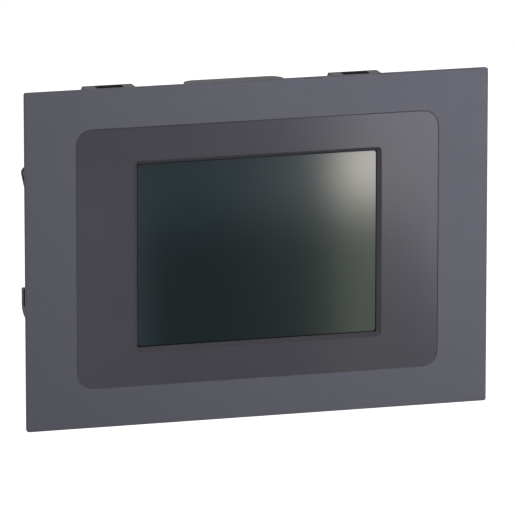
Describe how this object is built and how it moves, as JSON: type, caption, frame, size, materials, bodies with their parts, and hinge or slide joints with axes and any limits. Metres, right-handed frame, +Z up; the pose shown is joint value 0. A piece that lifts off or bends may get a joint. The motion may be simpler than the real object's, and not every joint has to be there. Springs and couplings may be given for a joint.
{
  "type": "panel-mount operator terminal",
  "caption": "Panel-mount operator terminal: bevelled touch display in a sealed flange, clamp lugs, hinged side door, underside connectors and a pull-off power plug.",
  "frame": {"origin": "centre of the door cut-out, on the rear face of the front flange", "axes": "+X to the right and +Z up as the operator sees the display, +Y away from the operator into the cabinet"},
  "size_m": [0.222, 0.0601, 0.159],
  "materials": {
    "painted_plate": "fine-textured powder coat",
    "overlay": "printed film, satin",
    "gasket": "matt",
    "tape": "adhesive foam",
    "touch_film": "clear film",
    "touch_glass": "clear",
    "flex": "flexible circuit",
    "foam": "matt foam",
    "sheet_steel": "plated sheet",
    "lcd_cell": "dark",
    "diffuser": "diffusing",
    "light_guide": "clear",
    "led": "moulded",
    "tray": "moulded",
    "screw": "zinc plated",
    "board": "solder mask",
    "chip": "moulded",
    "pad": "soft",
    "heat_sink": "anodised",
    "can": "satin",
    "transformer": "wrapped in tape",
    "black_plastic": "moulded",
    "cell": "bright",
    "cream_plastic": "moulded",
    "shield": "tin plated",
    "gold": "gold plated",
    "green_plastic": "moulded",
    "clamp_steel": "nickel plated",
    "white_plastic": "moulded",
    "blue_plastic": "moulded",
    "case": "moulded, spark-eroded texture",
    "label": "blank film"
  },
  "bodies": {
    "terminal": {"front_bezel": "painted_plate", "front_overlay": "overlay", "panel_gasket": "gasket", "touch_tape": "tape", "touch_film": "touch_film", "touch_glass": "touch_glass", "touch_tail": "flex", "lcd_gasket": "foam", "lcd_metal_frame": "sheet_steel", "lcd_cell": "lcd_cell", "diffuser_films": "diffuser", "light_guide": "light_guide", "led_bar": "led", "lcd_back_tray": "tray", "lcd_screws": "screw", "lcd_ribbon": "flex", "shield_plate": "sheet_steel", "chassis_screws": "screw", "board_standoffs": "screw", "board_screws": "screw", "main_board": "board", "processor_chip": "chip", "thermal_pad": "pad", "heat_sink": "heat_sink", "memory_chips": "chip", "power_capacitors": "can", "transformer": "transformer", "coin_cell_holder": "black_plastic", "coin_cell": "cell", "ribbon_sockets": "cream_plastic", "modular_jacks": "shield", "jack_contacts": "gold", "com1_shell": "shield", "com1_insulator": "black_plastic", "com1_pins": "gold", "com1_jack_nuts": "screw", "usb_shells": "shield", "usb_tongues": "white_plastic", "power_header": "green_plastic", "power_pins": "gold", "sd_socket": "shield", "dip_switch": "blue_plastic", "reset_switch": "black_plastic", "door_hinge_pin": "screw", "rear_case": "case", "case_screws": "screw", "rating_label": "label"},
    "door": {"side_door": "case"},
    "reset_plunger": {"reset_button": "white_plastic"},
    "dip_key_1": {"dip_slider_1": "white_plastic"},
    "dip_key_2": {"dip_slider_2": "white_plastic"},
    "plug": {"power_plug": "green_plastic", "plug_contacts": "gold"},
    "clamp_screw_body_1": {"clamp_screw_1": "clamp_steel"},
    "wire_clamp_body_1": {"wire_clamp_1": "clamp_steel"},
    "clamp_screw_body_2": {"clamp_screw_2": "clamp_steel"},
    "wire_clamp_body_2": {"wire_clamp_2": "clamp_steel"},
    "clamp_screw_body_3": {"clamp_screw_3": "clamp_steel"},
    "wire_clamp_body_3": {"wire_clamp_3": "clamp_steel"}
  },
  "joints": [
    {"name": "side_door_hinge", "type": "hinge", "parent": "terminal", "child": "door", "pos_m": [-0.0981, 0.0323, 0.0326], "axis": [0, 1, 0], "range_deg": [0, 110]},
    {"name": "reset_press", "type": "slide", "parent": "terminal", "child": "reset_plunger", "axis": [1, 0, 0], "range_m": [0, 0.0004]},
    {"name": "dip_slide_1", "type": "slide", "parent": "terminal", "child": "dip_key_1", "axis": [0, 1, 0], "range_m": [0, 0.0015]},
    {"name": "dip_slide_2", "type": "slide", "parent": "terminal", "child": "dip_key_2", "axis": [0, 1, 0], "range_m": [0, 0.0015]},
    {"name": "power_plug_pull", "type": "slide", "parent": "terminal", "child": "plug", "axis": [0, 0, -1], "range_m": [0, 0.015]},
    {"name": "clamp_screw_turn_1", "type": "hinge", "parent": "plug", "child": "clamp_screw_body_1", "pos_m": [-0.08858, 0.034, -0.0722], "axis": [0, -1, 0], "range_deg": [0, 1260]},
    {"name": "wire_clamp_lift_1", "type": "slide", "parent": "plug", "child": "wire_clamp_body_1", "axis": [0, 1, 0], "range_m": [0, 0.00175]},
    {"name": "clamp_screw_turn_2", "type": "hinge", "parent": "plug", "child": "clamp_screw_body_2", "pos_m": [-0.0835, 0.034, -0.0722], "axis": [0, -1, 0], "range_deg": [0, 1260]},
    {"name": "wire_clamp_lift_2", "type": "slide", "parent": "plug", "child": "wire_clamp_body_2", "axis": [0, 1, 0], "range_m": [0, 0.00175]},
    {"name": "clamp_screw_turn_3", "type": "hinge", "parent": "plug", "child": "clamp_screw_body_3", "pos_m": [-0.07842, 0.034, -0.0722], "axis": [0, -1, 0], "range_deg": [0, 1260]},
    {"name": "wire_clamp_lift_3", "type": "slide", "parent": "plug", "child": "wire_clamp_body_3", "axis": [0, 1, 0], "range_m": [0, 0.00175]}
  ],
  "couplings": [
    {"joint": "clamp_screw_turn_1", "follows": "wire_clamp_lift_1", "rad_per_m": 12566},
    {"joint": "clamp_screw_turn_2", "follows": "wire_clamp_lift_2", "rad_per_m": 12566},
    {"joint": "clamp_screw_turn_3", "follows": "wire_clamp_lift_3", "rad_per_m": 12566}
  ]
}
